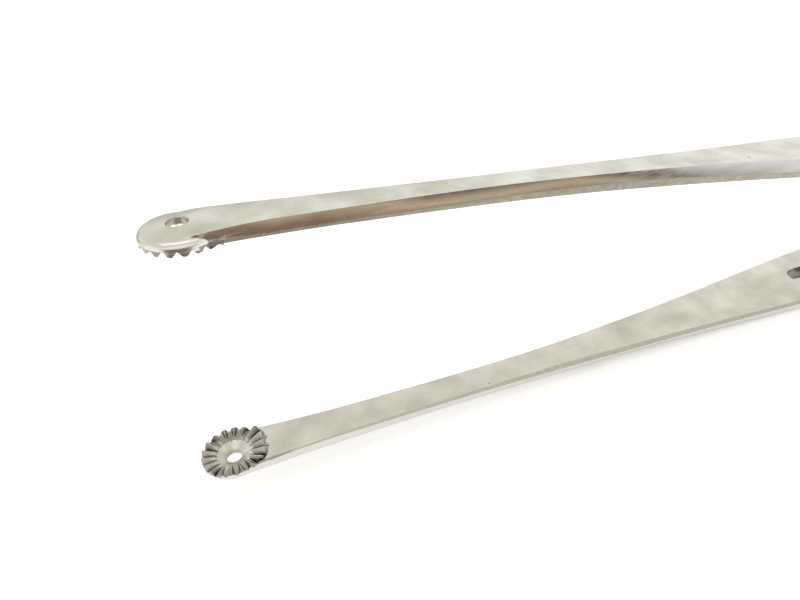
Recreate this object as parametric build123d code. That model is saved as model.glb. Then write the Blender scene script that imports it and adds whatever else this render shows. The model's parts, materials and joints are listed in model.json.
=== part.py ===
from build123d import *
from math import atan2, degrees, pi, radians, tan
import os

# Spring grasping forceps with round, cupped, toothed jaws, in millimetres.
# An arm is drawn on the middle plane's frame: x runs from the hole in the jaw to the tail, y is
# across the arm and z is away from the other arm. The finished pair is then laid down as it
# rests, on the back of the lower grip.

# Whole instrument
tip_gap = 33.3          # between the two inner faces at the jaws, arms relaxed
tip_slope = 1.43        # degrees that an inner face falls towards the tail, at the jaw
arm_length = 196.0      # from the hole in the jaw to the end of the tail
weld_length = 6.0       # of the tail, where the two inner faces meet
tail_corner = 3.0

# Head: an upright wall, a rounded shoulder and a crowned back
head_radius = 4.3
head_thickness = 1.85   # at the hole
shoulder_radius = 3.5   # outer edge of the crowned back
shoulder_top = 1.33     # height of that edge above the arm's inner face
wall_top = 0.7          # height at which the wall turns into the shoulder
shoulder_bulge = 0.12   # rise of the shoulder's curve over its chord, as a share of the chord

# Jaw
jaw_tilt = 2.5          # degrees that the teeth rise towards the arm, to meet when the arms close
tooth_count = 18
tooth_height = 0.8      # at the rim
tooth_land = 0.12       # flat left on a tooth's crest, at the rim
tooth_break = 0.25      # taken off the outer corner of the crests
crest_rise = 0.46       # tooth tips above the arm's inner face, at the rim
crest_slope = 14.0      # degrees that the crests fall towards the hole
ring_radius = 4.8       # outer end of the teeth that stand on the arm, behind the head
cup_radius = 2.5        # inner end of the teeth
cup_step = 0.15         # slant of the teeth's inner ends
cup_depth = 0.35        # dish below the inner face, at the teeth
dish_depth = 0.98       # dish below the inner face, at the hole
hole_radius = 1.12
hole_break = 0.17       # countersink of the hole, in the back
groove_reach = 0.15     # that the grooves run on past the teeth
lower_teeth_turn = 0.6  # degrees from the arm's line to a tooth
upper_teeth_turn = 14.0

# Arm: widths of the inner face and of the narrower back, heights of the side land, thicknesses
throat_width = 6.2      # just behind the head
neck_width = 4.5
grip_width = 13.4
tail_width = 9.0
neck_thickness = 2.15
grip_thickness = 2.7    # before its back is ground flat
spring_thickness = 2.0
bevel_bulge = 0.035     # rise of a bevel's curve over its chord, as a share of the chord

# Bow of an arm: share of the length from the hole to the weld, and share of the half gap that
# its inner face has come in there
bow = [(0.06, 0.0221), (0.13, 0.0556), (0.26, 0.1347), (0.40, 0.2428), (0.53, 0.3597),
       (0.65, 0.4836), (0.77, 0.6286), (0.87, 0.7779), (0.95, 0.9219)]

# Grip
grip_share = 0.65       # of the length from the hole to the weld, at the middle of the grooves
flat_depth = 0.2        # ground off the bowed back, where the forceps rests
groove_pitch = 1.6
groove_depth = 0.3
panel_length = 32.0
panel_width = 9.2

# Guide: a pin on the upper arm and a slot for it in the lower arm
guide_margin = 2.9      # between the slot and the grooves
slot_length = 6.2
slot_width = 4.1
pin_radius = 1.5
pin_length = 8.0
pin_point = 0.5
shank_radius = 1.0

# Places along the arm
weld_x = arm_length - weld_length
grip_x = grip_share * weld_x
guide_x = grip_x - panel_length / 2 - guide_margin - slot_length / 2


def stations():
    """The arm's sections from the head to the weld: place along the arm, half width and side land
    of the inner face, half width of the back, height of its edges and of its middle."""
    head = head_radius
    throat = throat_width / 2
    neck = neck_width / 2
    grip = grip_width / 2
    tail = tail_width / 2
    thin = neck_thickness
    thick = grip_thickness
    sprung = spring_thickness
    return [
        (0.0, head - 0.60, 0.60, shoulder_radius - 0.10, shoulder_top - 0.03, head_thickness - 0.07),
        (0.47 * head, head - 0.85, 0.72, head - 1.00, thin - 0.58, thin - 0.25),
        (1.05 * head, throat - 0.02, 0.60, throat - 0.08, thin - 0.44, thin - 0.21),
        (8.0, throat - 0.25, 0.38, throat - 0.44, thin - 0.32, thin - 0.18),
        (12.5, throat - 0.48, 0.38, throat - 0.68, thin - 0.29, thin - 0.18),
        (0.105 * weld_x, throat - 0.66, 0.45, throat - 0.93, thin - 0.22, thin - 0.17),
        (0.185 * weld_x, neck, 0.72, neck - 0.40, thin - 0.03, thin),
        (0.265 * weld_x, neck + 0.14, 1.00, neck - 0.18, thin + 0.12, thin + 0.15),
        (0.34 * weld_x, neck + 0.87, 1.02, neck + 0.24, thin + 0.22, thin + 0.25),
        (0.42 * weld_x, neck + 1.95, 0.86, neck + 1.20, thick - 0.20, thick - 0.17),
        (0.525 * weld_x, grip - 0.75, 0.75, grip - 1.60, thick - 0.05, thick - 0.02),
        (grip_x, grip, 0.75, grip - 0.85, thick - 0.03, thick),
        (0.78 * weld_x, grip - 0.65, 0.75, grip - 1.50, thick - 0.05, thick - 0.02),
        (0.87 * weld_x, tail + 0.70, 0.75, tail - 0.10, sprung + 0.07, sprung + 0.10),
        (0.935 * weld_x, tail + 0.20, 0.75, tail - 0.55, sprung - 0.03, sprung),
        (weld_x, tail, 0.75, tail - 0.75, sprung - 0.03, sprung),
    ]


def inner_line():
    """The bowed line that an arm's inner face follows, from the hole in the jaw to the weld."""
    half_gap = tip_gap / 2
    places = [(0, 0, half_gap)]
    places += [(share * weld_x, 0, half_gap * (1 - drop)) for share, drop in bow]
    places += [(weld_x, 0, 0)]
    return Spline(places, tangents=[(1, 0, -tan(radians(tip_slope))), (1, 0, 0)])


def frame_on(line, place):
    """The plane across which the arm is measured at a place: x along the line, z to the back."""
    low, high = 0.0, 1.0
    for _ in range(40):
        middle = (low + high) / 2
        if line.position_at(middle).X < place:
            low = middle
        else:
            high = middle
    along = line.tangent_at(high)
    return Plane(origin=line.position_at(high), x_dir=along, z_dir=along.cross(Vector(0, 1, 0)))


def arc_between(start, end, rise):
    """An arc from start to end that stands proud of its chord by a share of the chord."""
    across = end[0] - start[0]
    up = end[1] - start[1]
    middle = ((start[0] + end[0]) / 2 + up * rise, (start[1] + end[1]) / 2 - across * rise)
    return ThreePointArc(start, middle, end)


def section(row, line):
    """An arm's cross section: flat inner face, upright side lands, rounded bevels, narrow back."""
    place, inner, land, back, edge, middle = row
    here = frame_on(line, place)
    outline = Line((-inner, 0), (inner, 0))
    outline += Line((inner, 0), (inner, land))
    outline += arc_between((inner, land), (back, edge), bevel_bulge)
    outline += ThreePointArc((back, edge), (0, middle), (-back, edge))
    outline += arc_between((-back, edge), (-inner, land), bevel_bulge)
    outline += Line((-inner, land), (-inner, 0))
    return Plane(origin=here.origin, x_dir=(0, 1, 0), z_dir=here.x_dir) * make_face(outline)


def plan_outline():
    """The outline seen from above: room for the arm's own sides, then the rounded tail."""
    tail_start = arm_length - tail_width
    body = Pos(tail_start / 2, 0) * Rectangle(tail_start + 2, 2 * grip_width)
    tail = Pos(tail_start, 0) * RectangleRounded(2 * tail_width, tail_width, tail_corner)
    return body + tail


def blank_arm(line):
    """The forged arm before its jaw, grip and guide are cut."""
    sections = [section(row, line) for row in stations()]
    tail = extrude(sections[-1], amount=weld_length, dir=(1, 0, 0))
    limit = extrude(plan_outline(), amount=tip_gap)
    return ((loft(sections) + tail) & limit) + frame_on(line, 0) * head_blank()


def head_blank():
    """The round head, turned, with stock on its inner face, and on the arm's, for the teeth."""
    stock = 2 * crest_rise
    broken = tooth_break - crest_rise
    outline = TangentArc((0, head_thickness), (shoulder_radius, shoulder_top), tangent=(1, 0))
    outline += arc_between((head_radius, wall_top), (shoulder_radius, shoulder_top), shoulder_bulge)
    outline += Polyline((head_radius, wall_top), (head_radius, broken),
                        (head_radius - stock - broken, -stock), (0, -stock), (0, head_thickness))
    round_head = revolve(Plane.XZ * make_face(outline), Axis.Z)
    heel = Pos(head_radius / 2, 0) * Rectangle(head_radius, throat_width - tooth_break)
    ring = Pos(0, 0, -stock) * extrude(Circle(ring_radius) & heel, amount=stock + cup_depth)
    return round_head + ring


def crest_height(radius):
    """Height of the teeth's crests at a radius, towards the back."""
    return (head_radius - radius) * tan(radians(crest_slope)) - crest_rise


def turned(points):
    """The body that an outline of (radius, height) points sweeps round the jaw's axis."""
    return revolve(Plane.XZ * make_face(Polyline(points, close=True)), Axis.Z)


def cup_cutter():
    """What is turned out of the jaw: the cone of the crests and the smooth dish."""
    above = -2 * tooth_height
    wide = ring_radius + groove_reach
    return turned([(0, above), (wide, above), (wide, crest_height(wide)),
                   (cup_radius, crest_height(cup_radius)), (cup_radius - cup_step, cup_depth),
                   (hole_radius, dish_depth), (0, dish_depth)])


def hole_cutter():
    """The hole through the jaw, with its countersink in the back."""
    start = head_thickness - hole_break
    wide = hole_radius + 1
    return turned([(0, 0), (hole_radius, 0), (hole_radius, start), (wide, start + 1), (0, start + 1)])


def groove_section(radius):
    """The V of one groove at a radius, carried on above the crests."""
    above = 1.5
    share = radius / head_radius
    half = radius * tan(pi / tooth_count) - tooth_land / 2 * share
    crest = crest_height(radius)
    bottom = crest + tooth_height * share
    top = bottom - above * (bottom - crest)
    corners = [(radius, 0, bottom), (radius, half * above, top), (radius, -half * above, top)]
    return Face(Wire.make_polygon(corners))


def toothed_ring(teeth_turn):
    """The grooves between the teeth, all round the jaw."""
    groove = loft([groove_section(hole_radius), groove_section(ring_radius + groove_reach)], ruled=True)
    step = 360 / tooth_count
    return [Rot(0, 0, teeth_turn + (k + 0.5) * step) * groove for k in range(tooth_count)]


def jaw(arm, line, teeth_turn):
    """Cuts the cup, its teeth and its hole into the head."""
    place = frame_on(line, 0)
    tilted = place * Rot(0, jaw_tilt, 0)
    cuts = [cup_cutter()] + toothed_ring(teeth_turn)
    return arm - [tilted * cut for cut in cuts] - place * hole_cutter()


def back_plane(line):
    """The plane of the ground flat on the back of a grip, facing away from the other arm."""
    return frame_on(line, grip_x).offset(grip_thickness - flat_depth)


def grip(arm, line):
    """Grinds the back of the grip flat and cuts its cross grooves."""
    ground = extrude(Rectangle(grip_x, 2 * grip_width), amount=grip_thickness)
    side = groove_depth * 2 ** 0.5
    groove = Rot(0, 0, 90) * Rot(45, 0, 0) * Box(panel_width, side, side)
    count = int(panel_length / groove_pitch)
    first = -(count - 1) / 2 * groove_pitch
    cuts = [ground] + [Pos(first + k * groove_pitch, 0, 0) * groove for k in range(count)]
    place = back_plane(line)
    return arm - [place * cut for cut in cuts]


def guide_slot(line):
    """What is cut for the slot that takes the guide pin, right through an arm."""
    slot = extrude(SlotOverall(slot_length, slot_width), amount=2 * grip_thickness, both=True)
    return frame_on(line, guide_x) * slot


def guide_pin(line):
    """The pin: a rivet shank through the upper arm and a thicker peg with a softened point."""
    peg = Pos(0, 0, -pin_length) * extrude(Circle(pin_radius), amount=pin_length)
    peg = chamfer(peg.edges().sort_by(Axis.Z)[0], pin_point)
    shank = extrude(Circle(shank_radius), amount=grip_thickness - flat_depth)
    return frame_on(line, guide_x) * (peg + shank)


def laid_down(line):
    """The turn and lift that lay the pair on the ground back of its lower grip."""
    back = back_plane(line)
    tilt = degrees(atan2(-back.x_dir.Z, back.x_dir.X))
    turn = Rot(0, tilt, 0)
    low = turn * Pos(back.origin.X, 0, -back.origin.Z)
    return Pos(0, 0, -low.position.Z) * turn


os.makedirs("parts", exist_ok=True)
line = inner_line()
blank = grip(blank_arm(line), line)
pin = guide_pin(line)
upper = jaw(blank, line, upper_teeth_turn) - pin
lower = mirror(jaw(blank, line, lower_teeth_turn) - guide_slot(line), about=Plane.XY)
lay = laid_down(line)
parts = {"lower_arm": lay * lower, "upper_arm": lay * upper, "guide_pin": lay * pin}
front = min(part.bounding_box().min.X for part in parts.values())
rear = max(part.bounding_box().max.X for part in parts.values())
centre = Pos(-(front + rear) / 2, 0, 0)
for name, part in parts.items():
    placed = centre * part
    print(name, placed.bounding_box(), round(placed.volume, 1))
    export_step(placed, f"parts/{name}.step")
print("turned", lay.orientation, "moved", lay.position + centre.position)
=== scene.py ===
# %% [markdown]
# # Spring grasping forceps, dressed over a CAD frame
# The forceps is two bowed arms of stainless steel, welded to each other at the tail. Their
# jaws are round cups with a ring of teeth and a hole. The CAD model has every shape at its
# real size, so this lesson is about what CAD doesn't have: steel that looks ground here and
# polished there, and edges that catch the light. Near the tail the upper arm is cut into short
# lengths where it would bend like a spring.
# Everything is in metres, in the CAD model's own frame.

# %% Load the CAD frame
import json
import math
import bmesh
import bpy
from mathutils import Matrix, Vector


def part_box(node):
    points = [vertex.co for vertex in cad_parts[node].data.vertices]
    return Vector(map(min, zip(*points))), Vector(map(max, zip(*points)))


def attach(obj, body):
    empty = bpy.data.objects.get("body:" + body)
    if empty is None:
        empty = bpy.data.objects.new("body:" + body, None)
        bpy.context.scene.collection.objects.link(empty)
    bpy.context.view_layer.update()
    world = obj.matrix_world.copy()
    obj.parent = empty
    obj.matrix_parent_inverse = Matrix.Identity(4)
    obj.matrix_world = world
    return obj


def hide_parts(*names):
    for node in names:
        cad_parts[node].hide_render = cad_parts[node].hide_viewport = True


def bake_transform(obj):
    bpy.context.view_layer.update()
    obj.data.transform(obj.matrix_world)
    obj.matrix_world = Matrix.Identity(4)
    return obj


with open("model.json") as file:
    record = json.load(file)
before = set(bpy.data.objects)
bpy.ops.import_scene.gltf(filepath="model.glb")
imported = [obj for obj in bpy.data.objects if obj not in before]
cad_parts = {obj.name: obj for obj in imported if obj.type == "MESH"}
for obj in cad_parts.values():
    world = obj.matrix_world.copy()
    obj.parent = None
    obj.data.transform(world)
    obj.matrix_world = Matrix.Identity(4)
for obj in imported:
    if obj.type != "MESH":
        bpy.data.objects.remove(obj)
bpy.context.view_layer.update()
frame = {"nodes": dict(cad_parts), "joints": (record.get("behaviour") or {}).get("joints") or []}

MM = 0.001
for node in sorted(frame["nodes"]):
    low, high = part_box(node)
    print(node, "is", [round(side / MM, 1) for side in high - low], "mm")

# %% [markdown]
# ## Colours
# A colour is written as it looks on a screen, as a hex value. Blender's shaders calculate
# with linear light, so one function turns the one into the other.

# %% From a hex colour to linear light
def colour(hex_value):
    """Linear RGBA of an sRGB hex colour."""
    parts = [int(hex_value[i:i + 2], 16) / 255 for i in (1, 3, 5)]
    linear = [c / 12.92 if c <= 0.04045 else ((c + 0.055) / 1.055) ** 2.4 for c in parts]
    return (*linear, 1.0)


print("mid grey is", round(colour("#808080")[0], 3), "in linear light")

# %% [markdown]
# ## One helper for the node trees
# A node tree in code is mostly the same three steps: add a node, set some of its values and
# link some of its inputs. A function for each kind of node would hide which node it is, so
# one small function does the three steps for all kinds. A value that is itself an output
# socket is linked, and any other value is set.

# %% Add a node
def add(tree, kind, settings=None, stops=(), **inputs):
    """A new node with its settings, the stops of its colour ramp as (place, hex colour), and
    its inputs set or linked. An input goes by its name, with _ for a space, or by i and its
    number where two inputs share a name."""
    node = tree.nodes.new("ShaderNode" + kind)
    for name, value in (settings or {}).items():
        setattr(node, name, value)
    if stops:
        band = node.color_ramp.elements
        while len(band) < len(stops):
            band.new(1.0)
        for stop, (place, hex_value) in zip(band, stops):
            stop.position = place
            stop.color = colour(hex_value)
    for name, value in inputs.items():
        by_number = name[0] == "i" and name[1:].isdigit()
        key = int(name[1:]) if by_number else name.replace("_", " ")
        if isinstance(value, bpy.types.NodeSocket):
            tree.links.new(value, node.inputs[key])
        else:
            node.inputs[key].default_value = value
    return node


def new_material(name):
    """An empty material and its node tree."""
    material = bpy.data.materials.new(name)
    material.use_nodes = True
    material.node_tree.nodes.clear()
    return material, material.node_tree


def in_mm(tree):
    """The place of a pattern on the object's own axes, in millimetres."""
    place = add(tree, "TexCoord").outputs["Object"]
    return add(tree, "Mapping", i0=place, Scale=(1 / MM,) * 3).outputs[0]


print("a pattern's place is in mm, of which a metre has", round(1 / MM))

# %% [markdown]
# ## What the three finishes share
# The whole forceps is one steel in three finishes. In each of them a fine relief breaks up
# what the metal reflects, and every edge is worn a little round. The edges could be bevelled
# in the mesh, but so small a radius would need many thin faces. A Bevel node turns the
# shading alone, which is enough for a highlight as narrow as this.

# %% End a steel
EDGE_ROUNDING = 0.08 * MM   # radius of a worn edge
EDGE_SAMPLES = 6
LOW, HIGH = 0.3, 0.7        # nearly all values of a noise texture lie between these


def end_steel(tree, base, roughness, relief, strength, relief_depth):
    """Ends a steel's tree with its worn edges, its relief, its shader and its output."""
    worn = add(tree, "Bevel", {"samples": EDGE_SAMPLES}, Radius=EDGE_ROUNDING)
    surface = add(tree, "Bump", Height=relief, Strength=strength, Distance=relief_depth,
                  Normal=worn.outputs["Normal"])
    steel = add(tree, "BsdfPrincipled", Base_Color=base, Metallic=1.0, Roughness=roughness,
                Normal=surface.outputs["Normal"])
    add(tree, "OutputMaterial", Surface=steel.outputs[0])


print("an edge is rounded by", round(EDGE_ROUNDING / MM, 2), "mm")

# %% [markdown]
# ## Satin ground stainless steel
# The flat faces of the arms are ground along their length and then blasted to a satin, so
# that they don't dazzle under a bright lamp. To the eye that is a soft light grey with cloudy
# patches a few millimetres wide, a very fine grain along the arm and a few pin-prick stains.
# A painted picture could show all of this, but it would have to be wrapped round the arms.
# Noise in three dimensions runs on over every edge. Metal has no colour of its own beneath
# its gloss, so the clouds are mostly a change of roughness, and the base colour stays near
# that of plain steel.

# %% The satin faces
CLOUD_MM = 5.0          # width of a cloudy patch
GRAIN_MM = 0.22         # width of a grain line; the real 0.03 mm is too fine to show
GRAIN_STRETCH = 0.04    # a grain line is 25 times as long as it is wide
GRAIN_STRENGTH, GRAIN_DEPTH = 0.10, 0.02 * MM
STAIN_MM = 1.3          # spacing that the stains are thinned out from
STAIN_FROM, STAIN_FULL = 0.76, 0.86     # noise at which a stain begins and is complete
SATIN_DULL, SATIN_SMOOTH = 0.38, 0.28   # roughness of the clouds' darkest and lightest parts

satin, tree = new_material("satin_ground_stainless_steel")
place = in_mm(tree)
cloud = add(tree, "TexNoise", Vector=place, Scale=1 / CLOUD_MM, Detail=3.0, Roughness=0.55)
along = add(tree, "Mapping", i0=place, Scale=(GRAIN_STRETCH, 1, 1))
grain = add(tree, "TexNoise", Vector=along.outputs[0], Scale=1 / GRAIN_MM, Detail=2.0)
speck = add(tree, "TexNoise", Vector=place, Scale=1 / STAIN_MM, Detail=1.0)
clouds = add(tree, "ValToRGB", stops=[(LOW, "#BDBBAD"), (HIGH, "#D8D6CA")],
             Fac=cloud.outputs["Fac"])
stain = add(tree, "MapRange", Value=speck.outputs["Fac"], From_Min=STAIN_FROM,
            From_Max=STAIN_FULL)
tone = add(tree, "Mix", {"data_type": "RGBA"}, Factor=stain.outputs[0],
           i6=clouds.outputs["Color"], i7=colour("#8B857A"))
gloss = add(tree, "MapRange", Value=cloud.outputs["Fac"], From_Min=LOW, From_Max=HIGH,
            To_Min=SATIN_DULL, To_Max=SATIN_SMOOTH)
end_steel(tree, tone.outputs[2], gloss.outputs[0], grain.outputs["Fac"], GRAIN_STRENGTH,
          GRAIN_DEPTH)
print(satin.name, "has", len(tree.nodes), "nodes")

# %% [markdown]
# ## Polished stainless steel
# The bevels, the head's wall and shoulder, the teeth's crests and the pin come bright from
# the polishing wheel. They show the room as long soft streaks, since the wheel leaves the
# surface a little wavy. A mirror with no relief would look like chrome, so shallow waves
# along the arm bend what it shows, and a fine change of roughness blurs it.

# %% The bright bevels, wall and crests
WAVE_MM = 1.6           # width of the wheel's shallow waves
WAVE_STRETCH = 0.12     # a wave is 8 times as long as it is wide
WAVE_STRENGTH, WAVE_DEPTH = 0.15, 0.05 * MM
FINE_LOW, FINE_HIGH = 0.35, 0.65        # the same as LOW and HIGH, for noise of less detail
BRIGHT_SMOOTH, BRIGHT_DULL = 0.12, 0.22     # roughness

polished, tree = new_material("polished_stainless_steel")
drawn = add(tree, "Mapping", i0=in_mm(tree), Scale=(WAVE_STRETCH, 1, 1)).outputs[0]
wave = add(tree, "TexNoise", Vector=drawn, Scale=1 / WAVE_MM, Detail=2.0)
fine = add(tree, "TexNoise", Vector=drawn, Scale=1 / GRAIN_MM, Detail=1.0)
shade = add(tree, "ValToRGB", stops=[(LOW, "#D2CFCA"), (HIGH, "#DDDAD6")],
            Fac=wave.outputs["Fac"])
gloss = add(tree, "MapRange", Value=fine.outputs["Fac"], From_Min=FINE_LOW, From_Max=FINE_HIGH,
            To_Min=BRIGHT_SMOOTH, To_Max=BRIGHT_DULL)
end_steel(tree, shade.outputs["Color"], gloss.outputs[0], wave.outputs["Fac"], WAVE_STRENGTH,
          WAVE_DEPTH)
print(polished.name, "has", len(tree.nodes), "nodes")

# %% [markdown]
# ## Cut stainless steel
# The teeth's sides, the walls of the holes and of the slot, and the narrow lands along the
# inner faces are as the cutter left them. To the eye that is a darker, duller grey than the
# outside, with fine tool marks. Painted shade darkens its corners: it could be painted on
# by hand, but ambient occlusion finds the corners by itself: it measures how much of the sky a
# point sees. The grooves at a jaw's two sides get more painted shade than the others, so
# there the measure is lowered.

# %% The cut teeth, walls and lands
MARK_MM = 0.12          # width of a tool mark
MARK_STRENGTH, MARK_DEPTH = 0.12, 0.02 * MM
DULL_MM = 0.9           # width of a dull patch
CUT_DULL, CUT_SMOOTH = 0.32, 0.22       # roughness
CORNER_REACH = 1.5 * MM
CORNER_SAMPLES = 6
FULL_SHADE_SKY, NO_SHADE_SKY = 0.42, 0.79   # share of the sky seen where the painted shade is darkest, and where there is none
FULL_SHADE_LEAVES = 0.05      # share of the steel's colour that the darkest painted shade leaves
SIDE_EXTRA_SHADE = 0.33        # taken off the share of the sky in the grooves at a jaw's sides, for more painted shade there
SIDE_FROM_MM, SIDE_FULL_MM = 1.6, 3.0   # how far from the arm's middle those grooves lie
JAW_END_MM = -88.0      # where the jaws end along the arms
JAW_FADE_MM = 1.0

cut_steel, tree = new_material("cut_stainless_steel")
place = in_mm(tree)
dull = add(tree, "TexNoise", Vector=place, Scale=1 / DULL_MM, Detail=3.0)
marks = add(tree, "TexNoise", Vector=place, Scale=1 / MARK_MM, Detail=1.0)
corner = add(tree, "AmbientOcclusion", {"samples": CORNER_SAMPLES}, Distance=CORNER_REACH)
parts = add(tree, "SeparateXYZ", Vector=place)
across = add(tree, "Math", {"operation": "ABSOLUTE"}, i0=parts.outputs["Y"])
at_side = add(tree, "MapRange", Value=across.outputs[0], From_Min=SIDE_FROM_MM,
              From_Max=SIDE_FULL_MM)
at_jaw = add(tree, "MapRange", Value=parts.outputs["X"], From_Min=JAW_END_MM,
             From_Max=JAW_END_MM - JAW_FADE_MM)
# More painted shade in the grooves at the jaw's two sides, near the jaws
side_groove = add(tree, "Math", {"operation": "MULTIPLY"}, i0=at_side.outputs[0],
                  i1=at_jaw.outputs[0])
sky = add(tree, "Math", {"operation": "MULTIPLY_ADD"}, i0=side_groove.outputs[0],
          i1=-SIDE_EXTRA_SHADE, i2=corner.outputs["AO"])
# Painted shade: the colour is darkened where a point sees little sky, in the corners and grooves
painted_corner_shade = add(tree, "MapRange", Value=sky.outputs[0], From_Min=FULL_SHADE_SKY, From_Max=NO_SHADE_SKY,
           To_Min=FULL_SHADE_LEAVES, To_Max=1.0)
shade = add(tree, "ValToRGB", stops=[(LOW, "#A9A598"), (HIGH, "#B4B0A4")],
            Fac=dull.outputs["Fac"])
tone = add(tree, "Mix", {"data_type": "RGBA", "blend_type": "MULTIPLY"}, Factor=1.0,
           i6=shade.outputs["Color"], i7=painted_corner_shade.outputs[0])
gloss = add(tree, "MapRange", Value=dull.outputs["Fac"], From_Min=LOW, From_Max=HIGH,
            To_Min=CUT_DULL, To_Max=CUT_SMOOTH)
end_steel(tree, tone.outputs[2], gloss.outputs[0], marks.outputs["Fac"], MARK_STRENGTH,
          MARK_DEPTH)
print(cut_steel.name, "has", len(tree.nodes), "nodes")

# %% [markdown]
# ## A copy of an arm that can be finished
# A CAD node has one material, and here each face needs its own, so each piece is a copy of
# its node. A node is loose triangles, and each of their corners has its own direction. Those
# directions are exact, since they come from the CAD surfaces and not from the triangles.
# Smooth shading alone would guess them anew and leave ripples in the long bevels. So the copy
# is merged into one skin and keeps the exact directions in a layer of its own.

# %% Merge a copy of a CAD node
MERGE = 0.001 * MM


def skin_of(node):
    """A bmesh with the CAD node's triangles merged into one closed skin."""
    mesh = frame["nodes"][node].data.copy()
    exact = mesh.attributes.new("exact", "FLOAT_VECTOR", "CORNER")
    directions = [part for corner in mesh.corner_normals for part in corner.vector]
    exact.data.foreach_set("vector", directions)
    skin = bmesh.new()
    skin.from_mesh(mesh)
    bpy.data.meshes.remove(mesh)
    bmesh.ops.remove_doubles(skin, verts=skin.verts, dist=MERGE)
    open_edges = sum(not edge.is_manifold for edge in skin.edges)
    print(node, "has", len(skin.faces), "faces and", open_edges, "open edges")
    return skin


def finished(skin, name, node):
    """Turns a bmesh into a shaded object that stands for a CAD node."""
    mesh = bpy.data.meshes.new(name)
    skin.to_mesh(mesh)
    skin.free()
    piece = bpy.data.objects.new(name, mesh)
    bpy.context.scene.collection.objects.link(piece)
    for material in (satin, polished, cut_steel):
        mesh.materials.append(material)
    mesh.shade_smooth()
    exact = mesh.attributes["exact"]
    mesh.normals_split_custom_set([corner.vector.normalized() for corner in exact.data])
    mesh.attributes.remove(exact)
    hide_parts(node)
    return piece


print("corners within", round(MERGE / MM, 4), "mm of each other become one")

# %% [markdown]
# ## The two heights on a jaw's wall
# The wall round a jaw is bright below the teeth and as cut between them. No edge of the CAD
# model marks that border, and a mask in the material would have to know both jaws' axes. Two
# cuts through the mesh, square to the jaw's axis, give each part of the wall faces of its
# own.

# %% Cut a jaw's wall
RING_RADIUS = 4.97 * MM     # the jaw with all of its teeth lies within this of its axis
TIPS = 0.05 * MM            # first cut, below the arm's inner face: the teeth stand above it
ROOTS = 0.40 * MM           # second cut, just below the teeth's roots


def on_axis(point, hole, inward):
    """A point's distance from a jaw's axis, and its height above the arm's inner face. hole is
    where the axis meets that face, and inward points along the axis to the other jaw."""
    height = (point - hole).dot(inward)
    return (point - hole - inward * height).length, height


def cut_wall(skin, hole, inward):
    """Cuts the jaw's faces at the two heights."""
    jaw = [face for face in skin.faces
           if on_axis(face.calc_center_median(), hole, inward)[0] < RING_RADIUS]
    edges = dict.fromkeys(edge for face in jaw for edge in face.edges)
    corners = dict.fromkeys(corner for face in jaw for corner in face.verts)
    geometry = [*corners, *edges, *jaw]
    for below in (TIPS, ROOTS):
        cut = bmesh.ops.bisect_plane(skin, geom=geometry, plane_co=hole - inward * below,
                                     plane_no=inward, dist=MERGE)
        geometry = cut["geom"]


print("the wall is cut", round(TIPS / MM, 2), "and", round(ROOTS / MM, 2), "mm below the face")

# %% [markdown]
# ## Which faces get which finish
# The arms' satin faces look up or down and the bright ones look to the side, so a face's own
# direction sorts it. That holds for any shape of arm, and no list of faces has to be kept. On
# the jaw a face is sorted by its place on the jaw's axis too: the teeth's narrow crests are
# bright, their sides and the hole as cut, and the dish inside the ring satin. The slot's
# walls are found by their place. The narrow lands beside an inner face are ground but not
# polished: they are the upright faces that share a corner with that inner face.

# %% Sort the faces by their finish
SATIN, BRIGHT, CUT = 0, 1, 2
SIDEWAYS = 0.80             # sideways part of a normal, above which a face is a bevel or edge
HEAD_SIDEWAYS = 0.55        # the same on the round head, whose shoulder is polished too
HOLE_RADIUS = 1.32 * MM
CUP_RADIUS = 2.7 * MM
CREST = 0.25 * MM           # height above which the teeth's narrow crests lie
CREST_FACING = 0.93         # part of a normal towards the other arm, above which it is a crest
BRIGHT_PART = 2.0 * MM      # half the length of wall that is bright right up to the tips
INNER_FACING = 0.9          # part towards the other arm, above which a face is an inner one
FLAT_FACING = 0.999         # the same for the arm's own face among the teeth, which slope
WALL_FACING = 0.5           # the same, below which a face in the slot is its wall
SLOT_X = 6.5 * MM           # the guide slot's middle
SLOT_REACH = 5.0 * MM
SLOT_SIDE = 2.5 * MM


def sort_faces(skin, hole, inward):
    """Gives each face of an arm its finish. hole and inward are as in on_axis."""
    inner = {corner for face in skin.faces if face.normal.dot(inward) > INNER_FACING
             for corner in face.verts}
    land = set()
    for face in skin.faces:
        middle = face.calc_center_median()
        radius, height = on_axis(middle, hole, inward)
        facing = face.normal.dot(inward)
        in_ring = radius < RING_RADIUS
        in_slot = abs(middle.x - SLOT_X) < SLOT_REACH and abs(middle.y) < SLOT_SIDE
        upright = abs(face.normal.y) > (HEAD_SIDEWAYS if in_ring else SIDEWAYS)
        if in_ring and height > CREST and facing > CREST_FACING:
            face.material_index = BRIGHT
        elif radius < HOLE_RADIUS or (in_slot and abs(facing) < WALL_FACING):
            face.material_index = CUT
        elif radius < CUP_RADIUS and facing > 0:
            face.material_index = SATIN
        elif in_ring and height > -TIPS and facing < FLAT_FACING:
            face.material_index = CUT
        elif in_ring and height > -ROOTS and abs(middle.x - hole.x) > BRIGHT_PART:
            face.material_index = CUT
        elif upright and not inner.isdisjoint(face.verts):
            face.material_index = CUT
            land.update(face.verts)
        else:
            face.material_index = BRIGHT if upright else SATIN
    count = [0, 0, 0]
    for face in skin.faces:
        if face.material_index == BRIGHT and land.issuperset(face.verts):
            face.material_index = CUT
        count[face.material_index] += 1
    print("satin, bright and cut faces:", count)


print("a face is a bevel or edge when its normal is", SIDEWAYS, "or more sideways")

# %% [markdown]
# ## The lower arm
# The lower arm lies on the table and stays still, so its copy rides on its own CAD body. It
# needs no new shape, because the CAD model has all of it. Only the finishes are added.

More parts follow.
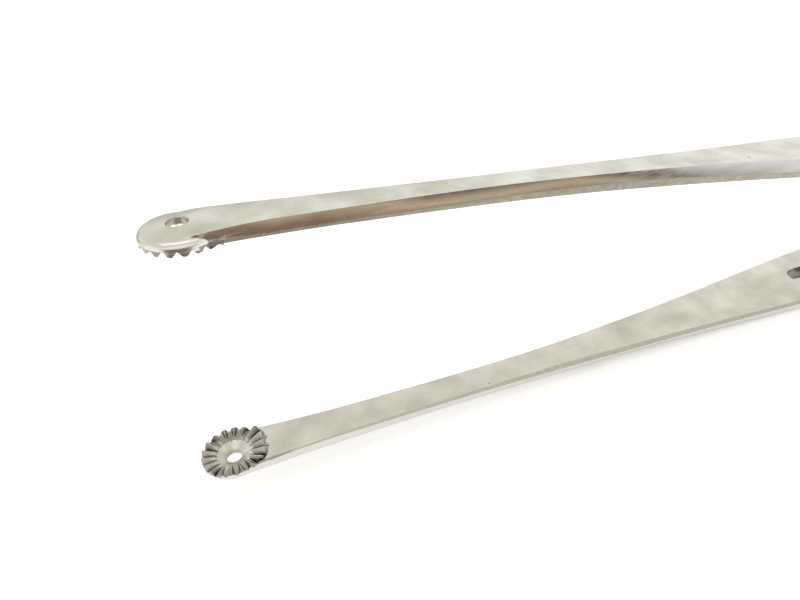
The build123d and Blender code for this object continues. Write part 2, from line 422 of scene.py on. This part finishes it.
# %% Lower arm
LOWER_HOLE = Vector((-96.273, 0, 6.304)) * MM   # where the jaw's axis meets the inner face
LOWER_INWARD = Vector((0.0708, 0, 0.9975))

skin = skin_of("lower_arm")
cut_wall(skin, LOWER_HOLE, LOWER_INWARD)
sort_faces(skin, LOWER_HOLE, LOWER_INWARD)
lower = finished(skin, "lower_arm_steel", "lower_arm")
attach(lower, "lower_arm")

# %% [markdown]
# ## The upper arm
# The upper arm closes on the lower one. A real one has no pivot: its rear end is a spring,
# and its welded tail stays where it is. The CAD model has one hinge in place of that bending.
# A copy that rode on the hinge would turn its tail out of the weld. So the copy is cut into
# short lengths near the tail, where the bend would go. It rides on no body, and nothing here
# bends it.

# %% Upper arm
UPPER_HOLE = Vector((-93.086, 0, 39.451)) * MM
UPPER_INWARD = Vector((-0.1205, 0, -0.9927))
PIVOT = Vector(frame["joints"][0]["pos_m"])
TILT = math.radians(5.49)       # how far the plane between the arms falls towards the tail
TAILWARD = Vector((math.cos(TILT), 0, -math.sin(TILT)))
BEND_BEHIND = 12 * MM           # the bend starts this far behind the CAD hinge
BEND_BEFORE = 30 * MM           # and ends this far before it
BEND_START = PIVOT + TAILWARD * BEND_BEHIND
BEND_END = PIVOT - TAILWARD * BEND_BEFORE
BEND_STEPS = 28

skin = skin_of("upper_arm")
cut_wall(skin, UPPER_HOLE, UPPER_INWARD)
sort_faces(skin, UPPER_HOLE, UPPER_INWARD)
for step in range(BEND_STEPS + 1):
    at = BEND_START.lerp(BEND_END, step / BEND_STEPS)
    everything = skin.verts[:] + skin.edges[:] + skin.faces[:]
    bmesh.ops.bisect_plane(skin, geom=everything, plane_co=at, plane_no=TAILWARD, dist=MERGE)
upper = finished(skin, "upper_arm_steel", "upper_arm")
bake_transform(upper)
print("the upper arm bends over", round((BEND_END - BEND_START).length / MM), "mm")

# %% [markdown]
# ## The guide pin
# The pin is turned from a rod and pressed into the upper arm. It keeps the jaws in line by
# running in the lower arm's slot. It is bright all over, so no face of it is sorted.

# %% Guide pin
skin = skin_of("guide_pin")
for face in skin.faces:
    face.material_index = BRIGHT
pin = finished(skin, "guide_pin_steel", "guide_pin")
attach(pin, "upper_arm")

# %% [markdown]
# ## Floor
# The forceps lies near the front edge of a white table. The floor is a large sheet of matt
# white, just under the arm that it carries. More light would make it white too, but would
# burn out the steel. So it glows a little instead, for the camera and for the steel that
# mirrors it, and it keeps the forceps's shadow. The steel's sides look over its front edge,
# so they show the dim room in front of it.

# %% White floor
FLOOR_SIZE = 3.0
FRONT_EDGE = -68 * MM           # the table's front edge
FLOOR_DROP = 0.02 * MM          # clearance under the arm
FLOOR_GLOW = 0.26

white, tree = new_material("matt_white_table")
seen = add(tree, "LightPath")
mirrored = add(tree, "Math", {"operation": "MAXIMUM"}, i0=seen.outputs["Is Glossy Ray"],
               i1=seen.outputs["Is Transmission Ray"])
shown = add(tree, "Math", {"operation": "MAXIMUM"}, i0=seen.outputs["Is Camera Ray"],
            i1=mirrored.outputs[0])
matt = add(tree, "BsdfDiffuse", Color=colour("#FBFBFB"))
glow = add(tree, "Emission", Color=colour("#FFFFFF"), Strength=FLOOR_GLOW)
extra = add(tree, "MixShader", i0=shown.outputs[0], i2=glow.outputs[0])
table = add(tree, "AddShader", i0=matt.outputs[0], i1=extra.outputs[0])
add(tree, "OutputMaterial", Surface=table.outputs[0])

sheet = bmesh.new()
bmesh.ops.create_grid(sheet, x_segments=1, y_segments=1, size=FLOOR_SIZE / 2)
bmesh.ops.translate(sheet, verts=sheet.verts, vec=(0, FRONT_EDGE + FLOOR_SIZE / 2, -FLOOR_DROP))
floor_mesh = bpy.data.meshes.new("floor")
sheet.to_mesh(floor_mesh)
sheet.free()
floor_mesh.materials.append(white)
floor = bpy.data.objects.new("floor", floor_mesh)
bpy.context.scene.collection.objects.link(floor)
print("the floor is", FLOOR_SIZE, "m wide")

# %% [markdown]
# ## The room that the steel shows
# Polished steel is a picture of the room round it. Here that is a white light box overhead, a
# white sheet that sweeps up behind the table, a dark gap low down at the sheet's far side, a
# dim brown room in front of the table with a lit strip near its horizon, and a light panel at
# that room's right end. A picture of a real room would do, but this lesson reads none, so
# colour ramps over the direction draw it. They depend on nothing else, so the room stays where
# it is when the camera moves. The camera itself sees plain white.

# %% The colours of the room by height
# Height of a direction: -1 is straight down, 0 is level and 1 is straight up.
DIM = [(-0.60, "#463A30"), (-0.45, "#736253"), (-0.20, "#8F7A68"), (-0.05, "#CABBA0"),
       (0.05, "#AE9E86"), (0.15, "#685A4E"), (0.28, "#827A71"), (0.46, "#F4F4F0"),
       (1.00, "#FFFFFF")]
PANEL = [(-0.5, "#E8E2DC"), (-0.2, "#FFFFFF"), (0.8, "#FFFFFF")]
SWEEP = [(0.0, "#FFFFFF"), (0.45, "#FFFFFF"), (0.7, "#E6E4E0"), (1.0, "#D4D2CD")]
GAP = [(0.0, "#2E2822"), (0.08, "#3E362F"), (0.18, "#F0EEEA"), (0.45, "#FFFFFF"),
       (0.7, "#E6E4E0"), (1.0, "#E0DED9")]

world = bpy.data.worlds.new("studio")
bpy.context.scene.world = world
world.use_nodes = True
tree = world.node_tree
tree.nodes.clear()
way = add(tree, "TexCoord").outputs["Generated"]
axes = add(tree, "SeparateXYZ", Vector=way)
up = axes.outputs["Z"]
half_up = add(tree, "MapRange", Value=up, From_Min=-1.0, From_Max=1.0).outputs[0]
dim, panel = (
    add(tree, "ValToRGB", stops=[((height + 1) / 2, shade) for height, shade in heights],
        Fac=half_up).outputs["Color"] for heights in (DIM, PANEL))
sweep, gap = (
    add(tree, "ValToRGB", stops=heights, Fac=up).outputs["Color"] for heights in (SWEEP, GAP))
print("the dim room changes colour at", len(DIM), "heights")

# %% [markdown]
# ## Where each part of the room stands
# Each part of the room gives way to the next between two values of the direction along X or
# Y. A soft border is what a blurred reflection would show anyway, and it leaves no hard line
# on the bevels.

# %% World
PANEL_EDGE = (0.64, 0.76)       # X: the dim room to the panel at its right
GAP_EDGE = (0.45, 0.60)         # Y: the sheet to the gap at its far side
GAP_END = (0.30, 0.55)          # X: the gap to the sheet again
FRONT_TO_BACK = (-0.62, -0.40)  # Y: the dim room to the sheet
ROOM_LIGHT = 1.2


def mixed_along(axis, edge, first, second):
    """The first colour below an edge in the direction along an axis, the second above it."""
    part = add(tree, "MapRange", {"interpolation_type": "SMOOTHSTEP"}, Value=axes.outputs[axis],
               From_Min=edge[0], From_Max=edge[1])
    return add(tree, "Mix", {"data_type": "RGBA"}, Factor=part.outputs[0], i6=first,
               i7=second).outputs[2]


front = mixed_along("X", PANEL_EDGE, dim, panel)
far = mixed_along("Y", GAP_EDGE, sweep, gap)
back = mixed_along("X", GAP_END, far, sweep)
room = mixed_along("Y", FRONT_TO_BACK, front, back)
inside = add(tree, "Background", Color=room, Strength=ROOM_LIGHT)
plain = add(tree, "Background", Color=colour("#FFFFFF"), Strength=1.0)
ray = add(tree, "LightPath")
mixed = add(tree, "MixShader", i0=ray.outputs["Is Camera Ray"], i1=inside.outputs[0],
            i2=plain.outputs[0])
add(tree, "OutputWorld", Surface=mixed.outputs[0])
print("the room has", len(tree.nodes), "nodes")

# %% [markdown]
# ## Lamp
# One wide soft lamp hangs over the forceps, as over a table in a photo studio. A sun or a
# small lamp would draw hard shadows. Most of the light comes from the room, so it is weak and
# only lifts the faces that look up.

# %% Overhead lamp
LAMP_LENGTH, LAMP_WIDTH, LAMP_HEIGHT = 0.9, 0.35, 0.8
LAMP_WATTS = 0.9

lamp_data = bpy.data.lights.new("overhead", "AREA")
lamp_data.shape = "RECTANGLE"
lamp_data.size = LAMP_LENGTH
lamp_data.size_y = LAMP_WIDTH
lamp_data.energy = LAMP_WATTS
lamp = bpy.data.objects.new("overhead", lamp_data)
bpy.context.scene.collection.objects.link(lamp)
lamp.location = (0.0, 0.0, LAMP_HEIGHT)
print("lamp at", [round(c, 2) for c in lamp.location], "m")

# %% [markdown]
# ## Camera
# The camera stands close to the jaws, a little above them, and looks across the arms and a
# little towards the tail, so that the jaws come forward and the grips lie past the right edge.
# It could be aimed by hand, but its place, angles and lens were worked out from the arms'
# edges and the rings of teeth, which is surer so close to the object. It is rolled a few
# degrees.

# %% Camera
CAMERA_AT = Vector((-87.084, -62.308, 69.018)) * MM
AZIMUTH, ELEVATION, ROLL = (math.radians(angle) for angle in (-15.589, 35.503, -7.538))
SENSOR_MM, LENS_MM = 36.0, 27.147
NEAREST = 5 * MM                # nothing nearer than this is drawn

camera_data = bpy.data.cameras.new("camera")
camera_data.sensor_width = SENSOR_MM
camera_data.lens = LENS_MM
camera_data.clip_start = NEAREST
camera = bpy.data.objects.new("camera", camera_data)
bpy.context.scene.collection.objects.link(camera)
level = math.cos(ELEVATION)
look = Vector((-math.sin(AZIMUTH) * level, math.cos(AZIMUTH) * level, -math.sin(ELEVATION)))
turn = look.to_track_quat("-Z", "Y").to_matrix().to_4x4() @ Matrix.Rotation(ROLL, 4, "Z")
camera.matrix_world = Matrix.Translation(CAMERA_AT) @ turn
bpy.context.scene.camera = camera
bpy.context.scene.view_settings.view_transform = "Standard"
print("camera right", [round(c, 4) for c in turn.col[0][:3]])
print("camera up", [round(c, 4) for c in turn.col[1][:3]])
